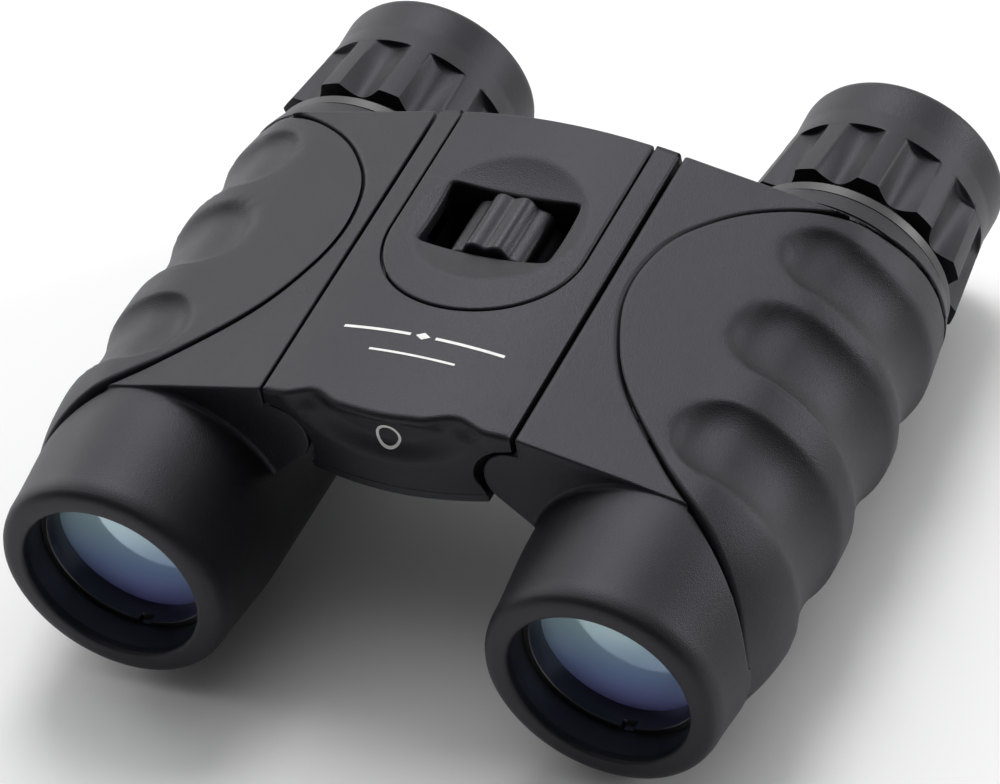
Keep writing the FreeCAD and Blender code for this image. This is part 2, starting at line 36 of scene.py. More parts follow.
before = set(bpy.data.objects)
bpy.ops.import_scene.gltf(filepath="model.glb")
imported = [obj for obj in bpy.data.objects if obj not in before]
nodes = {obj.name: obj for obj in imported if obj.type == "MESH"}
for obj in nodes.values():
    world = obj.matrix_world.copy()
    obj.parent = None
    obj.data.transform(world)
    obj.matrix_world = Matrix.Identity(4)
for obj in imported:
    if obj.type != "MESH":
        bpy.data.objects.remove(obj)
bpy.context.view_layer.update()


def middle(node):
    low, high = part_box(node)
    return (low + high) / 2


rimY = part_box("right_barrel_armour")[0].y
axisX = middle("right_objective_lens").x * 1000
axisHeight = middle("right_objective_lens").z
hinge = ((middle("right_front_hinge_pin").x) * 1000,
         (middle("right_front_hinge_pin").z - axisHeight) * 1000)
wheelHeight = (middle("focus_spindle").z - axisHeight) * 1000
sides = (("right", 1), ("left", -1))


def place(x, y, z):  # bench millimetres to metres in the part's own frame
    return Vector((x / 1000, y / 1000 + rimY, z / 1000 + axisHeight))


def lerp(a, b, t):
    return a + (b - a) * t


def clamp(t, low=0.0, high=1.0):
    return max(low, min(high, t))


def smooth(t):
    t = clamp(t)
    return t * t * (3 - 2 * t)


def softMin(a, b, width):
    near = max(width - abs(a - b), 0) / width
    return min(a, b) - near * near * width / 4


def softMax(a, b, width):
    return -softMin(-a, -b, width)


def steps(low, high, count):  # count values after low, the last of them high
    return [lerp(low, high, (n + 1) / count) for n in range(count)]


def curve(values, t):  # a smooth line through evenly spaced values
    t = clamp(t) * (len(values) - 1)
    n = min(int(t), len(values) - 2)
    a, b = values[n], values[n + 1]
    before = values[n - 1] if n else 2 * a - b
    after = values[n + 2] if n + 2 < len(values) else 2 * b - a
    f = t - n
    slopeA, slopeB = (b - before) / 2, (after - a) / 2
    return ((2 * f ** 3 - 3 * f ** 2 + 1) * a + (f ** 3 - 2 * f ** 2 + f) * slopeA
            + (3 * f ** 2 - 2 * f ** 3) * b + (f ** 3 - f ** 2) * slopeB)


def linear(code):
    parts = [int(code[n:n + 2], 16) / 255 for n in (1, 3, 5)]
    return [c / 12.92 if c <= 0.04045 else ((c + 0.055) / 1.055) ** 2.4 for c in parts] + [1.0]


def addNode(tree, kind, settings=None, inputs=None, links=None):
    node = tree.nodes.new(kind)
    for name, value in (settings or {}).items():
        setattr(node, name, value)
    for name, value in (inputs or {}).items():
        node.inputs[name].default_value = value
    for name, source in (links or {}).items():
        tree.links.new(source, node.inputs[name])
    return node


def newMaterial(name, colour, roughness, **shader):
    material = bpy.data.materials.new(name)
    material.use_nodes = True
    tree = material.node_tree
    tree.nodes.clear()
    inputs = {"Base Color": linear(colour), "Roughness": roughness}
    inputs.update({key.replace("_", " "): value for key, value in shader.items()})
    surface = addNode(tree, "ShaderNodeBsdfPrincipled", None, inputs)
    addNode(tree, "ShaderNodeOutputMaterial", None, None, {"Surface": surface.outputs[0]})
    material.diffuse_color = linear(colour)
    return material, tree, surface


def mottle(tree, surface, dark, light, grain):  # slow change of tone, grain in mm
    where = addNode(tree, "ShaderNodeTexCoord")
    cloud = addNode(tree, "ShaderNodeTexNoise", None, {"Scale": 1000 / grain, "Detail": 3.0},
                    {"Vector": where.outputs["Object"]})
    ramp = addNode(tree, "ShaderNodeValToRGB", None, None, {"Fac": cloud.outputs["Fac"]})
    ramp.color_ramp.elements[0].position = 0.3
    ramp.color_ramp.elements[0].color = linear(dark)
    ramp.color_ramp.elements[1].position = 0.7
    ramp.color_ramp.elements[1].color = linear(light)
    tree.links.new(ramp.outputs["Color"], surface.inputs["Base Color"])
    return where


def grainy(tree, surface, where, grain, height):  # moulded grain, both in mm
    noise = addNode(tree, "ShaderNodeTexNoise", None,
                    {"Scale": 1000 / grain, "Detail": 2.0, "Roughness": 0.6},
                    {"Vector": where.outputs["Object"]})
    bump = addNode(tree, "ShaderNodeBump", None, {"Strength": 1.0, "Distance": height / 1000},
                   {"Height": noise.outputs["Fac"]})
    tree.links.new(bump.outputs["Normal"], surface.inputs["Normal"])


def rubber(name, dark, light, roughness, grain, height):
    material, tree, surface = newMaterial(name, light, roughness, IOR=1.42)
    surface.inputs["Specular Tint"].default_value = linear("#f1f0ff")
    where = mottle(tree, surface, dark, light, 9.0)
    grainy(tree, surface, where, grain, height)
    return material


print("materials")
# moulded rubber armour: near black, a satin sheen with a fine spark-eroded grain; the real grain of
# about 0.1 mm is drawn at 0.19 mm, where it shows faintly, because a coarser one looks like hide
armourRubber = rubber("moulded satin rubber", "#121214", "#171719", 0.45, 0.19, 0.06)
# softer grip rubber: the same black with a slightly flatter sheen
gripRubber = rubber("moulded soft grip rubber", "#111113", "#161618", 0.46, 0.19, 0.06)
# the same rubber on the focus cover
coverRubber = rubber("moulded cover rubber", "#121214", "#171719", 0.45, 0.19, 0.06)
# turned eyecups: a little darker and smoother, so their rims carry a longer highlight
cupRubber = rubber("turned eyecup rubber", "#101012", "#151517", 0.43, 0.19, 0.055)
# the focus wheel: worn a little glossier by fingers
wheelRubber = rubber("moulded wheel rubber", "#141416", "#1a1a1c", 0.4, 0.19, 0.04)
# moulded nylon: a hard, even black with a low sheen and almost no grain
mouldedPlastic = rubber("injection moulded black nylon", "#141416", "#19191b", 0.45, 0.5, 0.01)


def metal(name, colour, roughness, marks):  # marks: spacing in mm of the tool's marks
    material, tree, surface = newMaterial(name, colour, roughness, Metallic=1.0)
    where = addNode(tree, "ShaderNodeTexCoord")
    waves = addNode(tree, "ShaderNodeTexNoise", None, {"Scale": 1000 / marks, "Detail": 1.0},
                    {"Vector": where.outputs["Object"]})
    bump = addNode(tree, "ShaderNodeBump", None, {"Strength": 0.4, "Distance": 0.00001},
                   {"Height": waves.outputs["Fac"]})
    tree.links.new(bump.outputs["Normal"], surface.inputs["Normal"])
    return material


# black anodised aluminium, die cast then blasted: dark with a dull metal gloss
blackAlloy, tree, surface = newMaterial("blasted black anodised aluminium", "#121214", 0.45, IOR=1.6)
grainy(tree, surface, mottle(tree, surface, "#111113", "#161618", 6.0), 0.3, 0.01)
# black anodised ring, turned: a little glossier, so its edge catches the light
blackRing, tree, surface = newMaterial("turned black anodised aluminium", "#0d0d0f", 0.32, IOR=1.7)
grainy(tree, surface, mottle(tree, surface, "#0c0c0e", "#111113", 4.0), 0.2, 0.004)
# bare metals inside: bright ground pins, yellow turned bushes, a grey milled crossbar
pinSteel = metal("ground steel", "#b9bbc0", 0.25, 0.4)
bushBrass = metal("turned brass", "#b59a57", 0.3, 0.4)
crossbarAlloy = metal("milled aluminium", "#a9acb1", 0.35, 0.3)

# multi-coated glass: a painted reflection of the room in the base colour, pale cyan at the top running into
# violet blue at the bottom, under the glass's own low gloss
coatedGlass, tree, surface = newMaterial("multi-coated crown glass with painted reflection", "#8fb2cf", 0.07,
                                         Metallic=0.25, IOR=2.2)
where = addNode(tree, "ShaderNodeTexCoord")
split = addNode(tree, "ShaderNodeSeparateXYZ", None, None, {"Vector": where.outputs["Object"]})
lensReach = 0.0125  # half the clear width of the objectives, in metres
height = addNode(tree, "ShaderNodeMapRange", None,
                 {"From Min": axisHeight - lensReach, "From Max": axisHeight + lensReach},
                 {"Value": split.outputs["Z"]})
# painted reflection: base colour set by height on the lens, violet blue low down, pale cyan at the top
paintedReflection = addNode(tree, "ShaderNodeValToRGB", None, None, {"Fac": height.outputs["Result"]})
paintedReflection.color_ramp.elements[0].color = linear("#a39ff8")
paintedReflection.color_ramp.elements[1].color = linear("#eefafa")
paintedReflection.color_ramp.elements.new(0.3).color = linear("#a4c0f6")
paintedReflection.color_ramp.elements.new(0.6).color = linear("#bfe2ee")
tree.links.new(paintedReflection.outputs["Color"], surface.inputs["Base Color"])
# uncoated inner glass: clear with a dark body
innerGlass, tree, surface = newMaterial("polished crown glass", "#0b1216", 0.03, IOR=1.52)
# screen-printed marks: matt white ink
whiteInk, tree, surface = newMaterial("screen-printed white ink", "#e9e9e6", 0.55, IOR=1.45)
grainy(tree, surface, mottle(tree, surface, "#dfdfdc", "#efefec", 1.5), 0.2, 0.004)

slotMaterials = {"armour_rubber": armourRubber, "grip_rubber": gripRubber, "cover_rubber": coverRubber,
                 "cup_rubber": cupRubber, "wheel_rubber": wheelRubber, "black_alloy": blackAlloy,
                 "black_ring": blackRing, "moulded_plastic": mouldedPlastic, "pin_steel": pinSteel,
                 "bush_brass": bushBrass, "crossbar_alloy": crossbarAlloy, "coated_glass": coatedGlass,
                 "inner_glass": innerGlass}
for name, node in nodes.items():
    for index, material in enumerate(node.data.materials):
        if material and material.name.split(".")[0] in slotMaterials:
            node.data.materials[index] = slotMaterials[material.name.split(".")[0]]


def lathe(rows, columns, where, closed=False):  # a line spun round, then each point put in place
    bm = bmesh.new()
    step = 0.01
    chain = [bm.verts.new((1, row * step, 0)) for row in range(rows)]
    for a, b in zip(chain, chain[1:]):
        bm.edges.new((a, b))
    if closed:
        bm.edges.new((chain[-1], chain[0]))
    bmesh.ops.spin(bm, geom=bm.verts[:] + bm.edges[:], cent=(0, 0, 0), axis=(0, -1, 0), dvec=(0, 0, 0),
                   angle=2 * pi, steps=columns, use_merge=True)
    bmesh.ops.remove_doubles(bm, verts=bm.verts[:], dist=1e-5)
    for v in bm.verts:
        column = round(atan2(v.co.z, v.co.x) / (2 * pi) * columns) % columns
        v.co = where(round(v.co.y / step), column)
    bmesh.ops.remove_doubles(bm, verts=bm.verts[:], dist=1e-7)
    return bm


def sheetOf(rows, columns, where):  # a flat grid, then each point put in place
    bm = bmesh.new()
    bmesh.ops.create_grid(bm, x_segments=columns - 1, y_segments=rows - 1, size=1)
    for v in bm.verts:
        column = round((v.co.x + 1) / 2 * (columns - 1))
        row = round((v.co.y + 1) / 2 * (rows - 1))
        v.co = where(row, column)
    bmesh.ops.remove_doubles(bm, verts=bm.verts[:], dist=1e-7)
    return bm


def asPiece(bm, name, body, slot, replaced=(), sharp=35, material=None, smoothed=True):
    bmesh.ops.dissolve_degenerate(bm, edges=bm.edges[:], dist=1e-8)
    bmesh.ops.recalc_face_normals(bm, faces=bm.faces[:])
    if bm.calc_volume(signed=True) < 0:
        bmesh.ops.reverse_faces(bm, faces=bm.faces[:])
    mesh = bpy.data.meshes.new(name)
    bm.to_mesh(mesh)
    bm.free()
    piece = bpy.data.objects.new(name, mesh)
    bpy.context.scene.collection.objects.link(piece)
    for face in mesh.polygons:
        face.use_smooth = smoothed
    if sharp and smoothed:
        mesh.set_sharp_from_angle(angle=radians(sharp))
    mesh.materials.append(material or slotMaterials[slot])
    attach(piece, body)
    if replaced:
        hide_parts(*replaced)
    return piece


print("barrels")
barrel = {"rim": 13.3, "lip": 17.3, "tube": 18.4, "end": 17.0, "rear": 84.5, "bore": 16.05,
          "wingFront": 20.5, "wingRear": 79.4, "seam": 17.9, "wingTop": 24.0, "fall": 0.8,
          "slope": 0.22, "eye": 5.06, "eyeFront": 31.8, "eyeRear": 68.2, "eyeReach": 25.2,
          "crease": 0.8, "edge": 0.4, "groove": 0.35, "grooveEdge": 0.45, "corner": 127.0,
          "partingLine": 0.22, "hingeWay": 5.9, "hingeWayLong": 36.2}
# the grip's outline: how far round the barrel its top edge comes, evenly along the grip
grip = {"middle": 46.0, "half": 35.5, "top": (0, 21, 51, 84, 110, 121, 123, 117, 99, 61, 0),
        "bottom": 104.0, "squareness": 0.35, "proud": 0.65, "edge": 0.7, "depth": 2.4,
        "floor": -19.88, "envelope": (16.9, 19.25, 19.9, 19.75, 19.6, 19.45, 19.2, 18.75, 17.5),
        # each finger valley: its middle, half its width, its lean and its depth
        "valleys": ((31.2, 7.1, 0.8, 1.5), (51.3, 7.0, 0.8, 1.4), (68.0, 6.3, 1.0, 1.35))}


def gripTop(v):
    return curve(grip["top"], v)


def gripBottom(v):
    return -grip["bottom"] * max(sin(pi * clamp(v)), 0) ** grip["squareness"]


def alongGrip(y):  # 0 at the front end of the grip, 1 at the rear
    return arcCosine(clamp((grip["middle"] - y) / grip["half"], -1, 1)) / pi


def arcCosine(x):
    return atan2(sqrt(max(0, 1 - x * x)), x)


def tubeRadius(y):
    if y < 20:
        return barrel["lip"] + (barrel["tube"] - barrel["lip"]) * smooth((y - 1.0) / 17)
    if y < 77.5:
        return barrel["tube"]
    return barrel["tube"] - (barrel["tube"] - barrel["end"]) * ((y - 77.5) / 7) ** 1.7


def webRadius(angle):  # where the wing's inner face meets the flat below the hinge eye
    turn = radians(angle)
    x1, z1, x2, z2 = 14.8 - axisX, 11.4, 20.4 - axisX, 6.2
    across = cos(turn) * (z2 - z1) - sin(turn) * (x2 - x1)
    return (x1 * (z2 - z1) - z1 * (x2 - x1)) / across


def wingRadius(y, angle):
    turn = radians(angle)
    rise = sin(turn) + barrel["slope"] * cos(turn)
    if angle < 30 or angle > 175:
        return 0
    top = (barrel["wingTop"] - barrel["fall"] * (79.4 - y) / 59 - 4.0) / rise if rise > 0.05 else 400
    if cos(turn) > -0.2:
        return top
    face = softMin(top, barrel["seam"] / -cos(turn), 0.9)
    return min(face, webRadius(angle)) if angle > 156 else face


def skinRadius(y, angle):
    return softMax(tubeRadius(y), wingRadius(y, angle), 0.5 if angle < 120 else 0.3)


def knuckleRadius(angle):  # the hinge eye and the web below it, on the wing's inner face
    eye = (hinge[0] - axisX, hinge[1])
    off = radians(angle) - atan2(eye[1], eye[0])
    span, eyeRadius = hypot(*eye), barrel["eye"]
    radius = 0
    if abs(span * sin(off)) < eyeRadius and cos(off) > 0:
        radius = span * cos(off) + sqrt(eyeRadius ** 2 - (span * sin(off)) ** 2)
    if 150 < angle < 162 and (angle > 153 or webRadius(angle) < radius):
        radius = max(min(webRadius(angle), barrel["eyeReach"]), radius if angle < 153 else 0)
    return radius


def coverRadius(y, angle):  # the whole outside, eyes included
    radius = skinRadius(y, angle)
    if barrel["wingFront"] < y < barrel["eyeFront"] or barrel["eyeRear"] < y < barrel["wingRear"]:
        return max(radius, knuckleRadius(angle))
    return radius


def onBarrel(side, y, angle, radius):
    turn = radians(angle)
    return place(side * (axisX + radius * cos(turn)), y, radius * sin(turn))


outline = [(grip["middle"] - grip["half"] * cos(pi * n / 500), n / 500) for n in range(501)]
gripEdge = KDTree(1002)
for n, (y, v) in enumerate(outline):
    for m, angle in enumerate((gripTop(v), gripBottom(v))):
        gripEdge.insert(onBarrel(1, y, angle, skinRadius(y, angle)), 2 * n + m)
gripEdge.balance()


def gripDistance(y, angle):  # millimetres from the grip's outline, negative inside it
    away = gripEdge.find(onBarrel(1, y, angle, skinRadius(y, angle)))[2] * 1000
    v = alongGrip(y)
    inside = abs(y - grip["middle"]) < grip["half"] and gripBottom(v) < angle < gripTop(v)
    return -away if inside else away


def gripEnvelope(y):  # the grip's radius over its ridges, on the outer side
    return curve(grip["envelope"], (y - 9) / 74)


def gripRadius(y, angle):
    top = wingRadius(y, clamp(angle, 62, 127)) + 0.3
    side = gripEnvelope(y)
    radius = lerp(side, max(top, side - 0.6), smooth((angle - 48) / 45))
    for centre, half, lean, depth in grip["valleys"]:
        shift = lean * (angle - 45) / 60
        over = radians(max(angle - 69, 0)) * 19.5
        reach = half + 0.5 - 0.5 * smooth(angle / 60)
        away = hypot(y - centre - shift - 1.2 * sin(radians(angle)), over) / reach
        if away < 1.12:
            crisp = smooth((angle - 25) / 45)  # the inner end of a valley has a steeper wall
            bowl = 1 - away ** lerp(2, 3.4, crisp) if away < 1 else 0
            deep = depth + 0.35 * crisp
            radius -= deep * softMax(bowl, 0, 0.1) * smooth((angle + 100) / 50)
    return radius


def wallRows(y, forward):  # up a wall square to the barrel: crease 0 to 1, face to 2, edge to 3
    parts = [n / 6 for n in range(7)] + [1 + n / 3 for n in range(1, 3)] + [2 + n / 4 for n in range(5)]
    rows = [("wall", y, part) for part in parts]
    return rows if forward else rows[::-1]


def wallPoint(y, part, low, high, forward):
    rise = max(high - low, 0)
    scale = clamp(rise / (barrel["crease"] + barrel["edge"]))
    crease, edge = barrel["crease"] * scale, barrel["edge"] * scale
    back = 1 if forward else -1
    y += back * (part - 1.5) * 0.06 * (1 - scale)
    if part <= 1:
        turn = part * pi / 2
        return y - back * crease * (1 - sin(turn)), low + crease * (1 - cos(turn))
    if part < 2:
        return y, lerp(low + crease, high - edge, part - 1)
    turn = (part - 2) * pi / 2
    return y + back * edge * (1 - cos(turn)), high - edge * (1 - sin(turn))


# from the mouth over the rim, back along the outside and home through the bore
armourRows = [("round", 1.5, barrel["rim"]), ("round", 0.55, barrel["rim"]), ("round", 0.2, 13.42),
              ("round", 0.03, 13.7), ("round", 0.0, 14.1), ("round", 0.0, 15.2), ("round", 0.06, 15.8),
              ("round", 0.25, 16.3), ("round", 0.6, 16.72), ("round", 1.05, 16.98),
              ("round", 1.3, 17.05), ("round", 1.45, 17.12)]
armourRows += [("skin", y, 0) for y in steps(1.7, 9.6, 10) + steps(9.6, 13.4, 14) + steps(13.4, 19.4, 8)]
armourRows += wallRows(barrel["wingFront"], True)
armourRows += [("skin", y, 0) for y in steps(20.9, 31.7, 18)]
armourRows += wallRows(barrel["eyeFront"], False)
armourRows += [("skin", y, 0) for y in steps(31.9, 68.1, 60)]
armourRows += wallRows(barrel["eyeRear"], True)
armourRows += [("skin", y, 0) for y in steps(68.3, 78.9, 18)]
armourRows += wallRows(barrel["wingRear"], False)
armourRows += [("skin", y, 0) for y in steps(79.9, 82.2, 18) + steps(82.2, 84.1, 7)]
armourRows += [("round", 84.4, 16.95), ("round", barrel["rear"], 16.7), ("round", barrel["rear"], 14.45),
               ("round", 83.9, 14.45)]
armourRows += [("round", y, barrel["bore"]) for y in (83.9, 60, 40, 20, 1.5)]
edgeOffsets = (0.0, 0.3, 0.35, 0.4, 0.48, 0.6, 0.75, 1.0, 1.4)  # columns beside the groove, in mm
columnCache = {}


def armourColumns(y):  # the angles round the barrel, crowded along the groove and the wing
    if y in columnCache:
        return columnCache[y]
    v = clamp(alongGrip(y), 0.09, 0.91)
    top, bottom = gripTop(v), gripBottom(v)
    y1, y2 = (grip["middle"] - grip["half"] * cos(pi * (v + d)) for d in (-0.01, 0.01))
    slant = radians(gripTop(v + 0.01) - gripTop(v - 0.01)) * 21 / (y2 - y1)
    perMm = min(sqrt(1 + slant * slant), 2.6) / radians(1) / skinRadius(y, top)
    upper = [top + d * perMm for d in edgeOffsets]
    lower = [bottom - d * 3.1 for d in edgeOffsets[::-1]]
    start = max(barrel["corner"] - 1.4, upper[-1] + 0.3)
    angles = steps(bottom, top, 44)[:-1] + upper + steps(upper[-1], start, 18) + steps(start, 128.4, 7)
    angles += steps(128.4, 152.4, 34) + steps(152.4, 161, 14) + steps(161, 172, 8)
    angles += steps(172, 360 + lower[0], 60)[:-1]
    angles += [360 + a for a in lower]
    columnCache[y] = angles
    return angles


def wrapped(angle):  # -180 to 180, kept continuous over the top
    return angle - 360 if angle > 180 else angle


def pocketed(y, angle, radius):  # sunk under the grip, with a rounded groove along its outline
    turned = wrapped(angle)
    if not 8 < y < 84:
        return radius
    away = gripDistance(y, turned)
    if away > barrel["groove"] + barrel["grooveEdge"]:
        return radius
    if away < barrel["groove"] - 0.02:
        return min(radius - 1.6, gripRadius(y, turned) - 1.3)
    t = clamp((away - barrel["groove"]) / barrel["grooveEdge"])
    return radius - barrel["grooveEdge"] * (1 - sqrt(max(1 - (1 - t) ** 2, 0)))


def barrelArmour(name, side):
    count = len(armourColumns(40.0))

    def where(row, column):
        kind, y, value = armourRows[row]
        angle = armourColumns(clamp(y, 12, 80))[column]
        if kind == "round":
            return onBarrel(side, y, angle, value)
        if kind == "skin":
            onWing = barrel["wingFront"] < y < barrel["wingRear"]
            radius = coverRadius(y, angle) if onWing else tubeRadius(y)
            if 80.3 < y < 80.9:  # the parting line round the rear end
                radius -= barrel["partingLine"]
            return onBarrel(side, y, angle, pocketed(y, angle, radius))
        forward = y in (barrel["wingFront"], barrel["eyeRear"])
        before, after = coverRadius(y - 0.01, angle), coverRadius(y + 0.01, angle)
        if y == barrel["wingFront"]:
            before = tubeRadius(y)
        if y == barrel["wingRear"]:
            after = tubeRadius(y)
        yy, radius = wallPoint(y, value, min(before, after), max(before, after), forward)
        return onBarrel(side, yy, angle, pocketed(yy, angle, radius))

    bm = lathe(len(armourRows), count, where, closed=True)
    piece = asPiece(bm, f"{name}_barrel_cover", f"{name}_barrel", "armour_rubber",
                    [f"{name}_barrel_armour"], sharp=0)
    cutBy(piece, side)
    piece.data.set_sharp_from_angle(angle=radians(40))
    return piece


def cutBy(piece, side):  # the space round the hinge, where the bridge's lugs turn
    bm = bmesh.new()
    bmesh.ops.create_cone(bm, cap_ends=True, segments=64, radius1=barrel["hingeWay"] / 1000,
                          radius2=barrel["hingeWay"] / 1000, depth=barrel["hingeWayLong"] / 1000)
    for v in bm.verts:
        v.co = place(side * hinge[0] + v.co.x * 1000, 50 + v.co.z * 1000, hinge[1] + v.co.y * 1000)
    if bm.calc_volume(signed=True) < 0:
        bmesh.ops.reverse_faces(bm, faces=bm.faces[:])
    mesh = bpy.data.meshes.new("hinge way")
    bm.to_mesh(mesh)
    bm.free()
    cutter = bpy.data.objects.new("hinge way", mesh)
    bpy.context.scene.collection.objects.link(cutter)
    cut = piece.modifiers.new("cut", "BOOLEAN")
    cut.operation = "DIFFERENCE"
    cut.solver = "MANIFOLD"
    cut.object = cutter
    bpy.context.view_layer.update()
    shaped = bpy.data.meshes.new_from_object(piece.evaluated_get(bpy.context.evaluated_depsgraph_get()))
    piece.modifiers.clear()
    piece.data = shaped
    bpy.data.objects.remove(cutter)


gripRings = [0.0] + steps(0.0, 0.9, 34) + steps(0.9, 0.965, 5) + steps(0.965, 1.0, 10)


def gripPad(name, side):
    outer = len(gripRings)
    under = [0.97, 0.8, 0.6, 0.4, 0.2, 0.0]
    columns = 400

    def spot(ring, column):
        turn = 2 * pi * column / columns
        a, b = ring * cos(turn), ring * sin(turn)
        v = arcCosine(clamp(-b, -1, 1)) / pi
        half = sqrt(max(1 - b * b, 1e-9))
        u = clamp(a / half, -1, 1)
        return grip["middle"] + grip["half"] * b, lerp(gripBottom(v), gripTop(v), (u + 1) / 2)

    def where(row, column):
        if row < outer:
            ring, drop = gripRings[row], 0
        elif row < outer + 2:
            ring, drop = 1.0, (0.9, grip["depth"])[row - outer]
        else:
            ring, drop = under[row - outer - 2], grip["depth"]
        y, angle = spot(ring, column)
        inner = 0 if ring >= 1 else -gripDistance(y, angle)
        radius = min(gripRadius(y, angle), skinRadius(y, angle) + grip["proud"] + 0.5 * inner)
        t = clamp(inner / grip["edge"])
        radius -= grip["edge"] * (1 - sqrt(max(1 - (1 - t) ** 2, 0)))
        radius -= drop
        if radius * sin(radians(angle)) < grip["floor"]:
            radius = grip["floor"] / sin(radians(angle))
        return onBarrel(side, y, angle, radius)

    bm = lathe(outer + 2 + len(under), columns, where)
    return asPiece(bm, f"{name}_grip_pad", f"{name}_barrel", "grip_rubber",
                   [f"{name}_finger_grip"], sharp=50)


for name, side in sides:
    barrelArmour(name, side)
    gripPad(name, side)


print("bridge")
bridge = {"front": 18.7, "bow": 109.0, "lowBow": 46.0, "half": 18.7, "rear": 79.4, "top": 26.2,
          "arch": 166.0, "fall": 0.8, "floor": 11.1, "socket": 5.9, "socketSide": 13.4,
          "edge": 0.35, "noseEdge": 0.9, "wall": 1.3, "lip": 0.7, "lipHalf": 9.0,
          "bite": 1.5, "biteAt": 10.8, "biteWide": 5.0,
          "dish": 1.5, "dishHalf": 14.8, "dishMiddle": 23.0, "dishHigh": 7.4}
cover = {"half": 14.8, "centre": 54.8, "gap": 0.28, "floor": 22.65, "edge": 0.4, "windowX": 10.0,
         "windowY": 6.22, "middle": 58.8, "lip": 0.5, "dishRadius": 12.6, "dishDepth": 2.3, "deep": 4.2}


def crownHeight(x, y):
    return bridge["top"] - x * x / bridge["arch"] - bridge["fall"] * (79.4 - y) / 59


def noseLine(x, z=24.0):  # the bow of the front, rounder towards the floor
    bow = lerp(bridge["lowBow"], bridge["bow"], smooth((z - 11) / 11))
    return bridge["front"] + x * x / (2 * bow)


def noseEdge(x):  # the top edge: a lip in the middle, a bite at each side of it
    away = abs(x)
    lip = bridge["lip"] * (0.5 + 0.5 * cos(pi * clamp(away / bridge["lipHalf"])))
    past = clamp((away - bridge["biteAt"]) / bridge["biteWide"], -1, 1)
    bite = bridge["bite"] * (0.5 + 0.5 * cos(pi * past))
    return noseLine(x) - lip + bite


def noseFace(x, z):  # the lower front, with the shallow dish in it
    spread = 1 - hypot(x / bridge["dishHalf"], min(z - bridge["dishMiddle"], 0) / bridge["dishHigh"])
    deep = lerp(bridge["dish"], bridge["bite"], smooth(abs(x) / 8))
    return noseLine(x, z) + deep * smooth(spread / 0.5)


def socketSide(z):  # the bridge's side, hollowed for the hinge eye
    drop = bridge["socket"] ** 2 - (z - hinge[1]) ** 2
    if drop <= 0:
        return bridge["half"]
    side = hinge[0] - sqrt(drop)
    if z > hinge[1]:
        return min(side, bridge["half"])
    return max(min(side, bridge["socketSide"]), hinge[0] - bridge["socket"])


edgeSteps = [n / 5 for n in range(6)]
sideRows, cornerRows, noseRows = 30, 26, 61
shellRows = sideRows + cornerRows + noseRows


def shellPoint(row, column, columnsIn, columnsTop, columnsOut):
    # rows run from the rear along the side and round to the middle of the nose
    reach = cover["half"] + cover["gap"]
    cornerEnd = sideRows + cornerRows
    front = row > cornerEnd
    if row < sideRows:
        t = row / sideRows
        inner = (reach, lerp(bridge["rear"], cover["centre"], t))
        outer = (bridge["half"], lerp(bridge["rear"], 52.0, t))
    else:
        turn = (row - sideRows) / (shellRows - sideRows - 1) * pi / 2
        inner = (reach * cos(turn), cover["centre"] - reach * sin(turn))
        if front:
            x = bridge["half"] * (1 - (row - cornerEnd) / (noseRows - 1))
            outer = (x, noseEdge(x))
        else:
            t = (row - sideRows) / cornerRows
            outer = (bridge["half"], lerp(52.0, noseEdge(bridge["half"]), t))
    if column < columnsIn:  # down inside the slot for the focus cover
        n = columnsIn - 1 - column
        slope = (inner[0] - outer[0], inner[1] - outer[1])
        size = hypot(*slope)
        out = (slope[0] / size, slope[1] / size)
        if n < len(edgeSteps):
            turn = edgeSteps[n] * pi / 2
            back, drop = bridge["edge"] * (1 - sin(turn)), bridge["edge"] * (1 - cos(turn))
            x, y = inner[0] - out[0] * back, inner[1] - out[1] * back
            return place(x, y, crownHeight(x, y) - drop)
        x, y = inner
        t = (n - len(edgeSteps) + 1) / (columnsIn - len(edgeSteps))
        return place(x, y, lerp(crownHeight(x, y) - 0.4, 22.3, t))
    if column < columnsIn + columnsTop:
        t = (column - columnsIn + 1) / (columnsTop + 1)
        t = 0.5 - 0.5 * cos(pi * t)
        size = hypot(outer[0] - inner[0], outer[1] - inner[1])
        a = bridge["edge"] / size
        b = (bridge["noseEdge"] if front else bridge["edge"]) / size
        t = lerp(a, 1 - b, t)
        x, y = lerp(inner[0], outer[0], t), lerp(inner[1], outer[1], t)
        return place(x, y, crownHeight(x, y))
    n = column - columnsIn - columnsTop
    rounding = bridge["noseEdge"] if front else bridge["edge"]
    if n < len(edgeSteps):
        turn = edgeSteps[n] * pi / 2
        back, drop = rounding * (1 - sin(turn)), rounding * (1 - cos(turn))
        slope = (outer[0] - inner[0], outer[1] - inner[1])
        size = hypot(*slope)
        x, y = outer[0] - slope[0] / size * back, outer[1] - slope[1] / size * back
        return place(x, y, crownHeight(x, y) - drop)
    topZ = crownHeight(*outer) - rounding
    t = (n - len(edgeSteps) + 1) / (columnsOut - len(edgeSteps))
    z = lerp(topZ, bridge["floor"], t)
    side = socketSide(z)
    if not front:
        return place(side, outer[1], z)
    x = outer[0] * side / bridge["half"]
    under = smooth((topZ - z) / 2.6)
    return place(x, lerp(noseEdge(outer[0]), noseFace(x, z), under), z)


def bridgeShell():
    columnsIn, columnsTop, columnsOut = 12, 44, 46
    bm = sheetOf(shellRows, columnsIn + columnsTop + columnsOut,
                 lambda row, column: shellPoint(row, column, columnsIn, columnsTop, columnsOut))
    bmesh.ops.mirror(bm, geom=bm.verts[:] + bm.edges[:] + bm.faces[:], merge_dist=1e-5, axis="X")
    bmesh.ops.remove_doubles(bm, verts=bm.verts[:], dist=1e-6)
    piece = asPiece(bm, "bridge_shell", "bridge", "armour_rubber", ["bridge_armour"], sharp=50)
    upward = sum(face.normal.z * face.area for face in piece.data.polygons)
    if upward < 0:
        piece.data.flip_normals()
    shell = piece.modifiers.new("wall", "SOLIDIFY")
    shell.thickness = bridge["wall"] / 1000
    shell.offset = -1
    return piece


